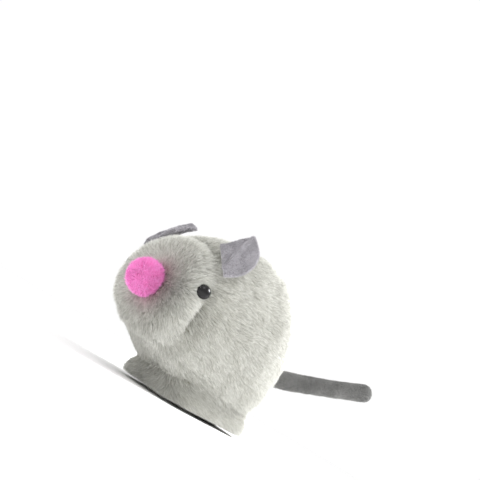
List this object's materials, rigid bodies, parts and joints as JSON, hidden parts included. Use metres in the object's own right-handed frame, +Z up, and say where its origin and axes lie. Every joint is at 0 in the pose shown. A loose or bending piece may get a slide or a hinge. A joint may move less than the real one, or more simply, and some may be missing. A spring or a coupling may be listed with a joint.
{
  "type": "clockwork mouse",
  "caption": "Plush clockwork mouse with a pompom nose, velour ears and tail, and a wind-up spring motor driving wheels under a belly plate.",
  "frame": {"origin": "on the underside of the belly plate, under the middle of the body", "axes": "+Y from nose to tail, +X to the mouse's left side, +Z up"},
  "size_m": [0.0719, 0.1285, 0.0632],
  "materials": {
    "fur": "short silky pile, pale silver grey",
    "velour": "short velour, mid grey",
    "pompom": "fluffy bright pink",
    "bead": "polished black",
    "shell_plastic": "moulded, natural",
    "plate_plastic": "moulded, fine texture",
    "plated_steel": "zinc plated, pressed",
    "spring_steel": "tempered blue-grey",
    "brass": "turned",
    "rubber": "moulded rubber",
    "wheel_plastic": "moulded",
    "key_steel": "nickel plated"
  },
  "bodies": {
    "mouse_body": {"belly_panel": "fur", "left_side_panel": "fur", "right_side_panel": "fur", "nose_pompom": "pompom", "left_eye": "bead", "right_eye": "bead", "eye_washers": "wheel_plastic", "left_body_shell": "shell_plastic", "right_body_shell": "shell_plastic", "shell_screws": "plated_steel", "base_plate": "plate_plastic", "base_screws": "plated_steel", "motor_screws": "plated_steel", "roller_pin": "plated_steel", "left_motor_plate": "plated_steel", "right_motor_plate": "plated_steel", "motor_pillars": "plated_steel", "mainspring": "spring_steel", "axle_bushes": "brass", "key_bushing": "plate_plastic"},
    "drive_wheels": {"drive_axle": "plated_steel", "drive_pinion": "plated_steel", "left_wheel": "wheel_plastic", "right_wheel": "wheel_plastic", "left_tyre": "rubber", "right_tyre": "rubber"},
    "third_arbor": {"third_shaft": "plated_steel", "third_pinion": "plated_steel", "third_gear": "brass"},
    "second_arbor": {"second_shaft": "plated_steel", "second_pinion": "plated_steel", "second_gear": "brass"},
    "main_wheel": {"main_gear": "brass", "click_pawl": "spring_steel"},
    "winding_key_set": {"winding_arbor": "plated_steel", "ratchet_wheel": "plated_steel", "winding_key": "key_steel"},
    "roller": {"front_roller": "wheel_plastic"},
    "left_ear_flap": {"left_ear": "velour"},
    "right_ear_flap": {"right_ear": "velour"},
    "tail_tube": {"tail": "velour"}
  },
  "joints": [
    {"name": "drive_wheels_spin", "type": "hinge", "parent": "mouse_body", "child": "drive_wheels", "pos_m": [0, 0.012, 0.006], "axis": [1, 0, 0], "continuous": true},
    {"name": "third_gear_spin", "type": "hinge", "parent": "mouse_body", "child": "third_arbor", "pos_m": [0, 0.00487, 0.01081], "axis": [1, 0, 0], "continuous": true},
    {"name": "second_gear_spin", "type": "hinge", "parent": "mouse_body", "child": "second_arbor", "pos_m": [0, 0.00654, 0.02026], "axis": [1, 0, 0], "continuous": true},
    {"name": "main_gear_spin", "type": "hinge", "parent": "mouse_body", "child": "main_wheel", "pos_m": [0, -0.00398, 0.02517], "axis": [1, 0, 0], "continuous": true},
    {"name": "key_wind", "type": "hinge", "parent": "mouse_body", "child": "winding_key_set", "pos_m": [0, -0.00398, 0.02517], "axis": [1, 0, 0], "range_deg": [0, 1260], "deforming": ["mainspring", "click_pawl"]},
    {"name": "front_roller_spin", "type": "hinge", "parent": "mouse_body", "child": "roller", "pos_m": [0, -0.008, 0.002], "axis": [1, 0, 0], "continuous": true},
    {"name": "left_ear_fold", "type": "hinge", "parent": "mouse_body", "child": "left_ear_flap", "pos_m": [0.01846, -0.02842, 0.04707], "axis": [0.6801, 0, -0.7331], "range_deg": [-18, 18], "stiffness_Nm_per_rad": 0.0005},
    {"name": "right_ear_fold", "type": "hinge", "parent": "mouse_body", "child": "right_ear_flap", "pos_m": [-0.01846, -0.02842, 0.04707], "axis": [0.6801, 0, 0.7331], "range_deg": [-18, 18], "stiffness_Nm_per_rad": 0.0005},
    {"name": "tail_sway", "type": "hinge", "parent": "mouse_body", "child": "tail_tube", "pos_m": [0, 0.0427, 0.025], "axis": [0, 0, 1], "range_deg": [-35, 35], "stiffness_Nm_per_rad": 0.001}
  ],
  "couplings": [
    {"joint": "third_gear_spin", "follows": "drive_wheels_spin", "ratio": -0.41667},
    {"joint": "second_gear_spin", "follows": "drive_wheels_spin", "ratio": 0.14881},
    {"joint": "main_gear_spin", "follows": "drive_wheels_spin", "ratio": -0.041336}
  ]
}
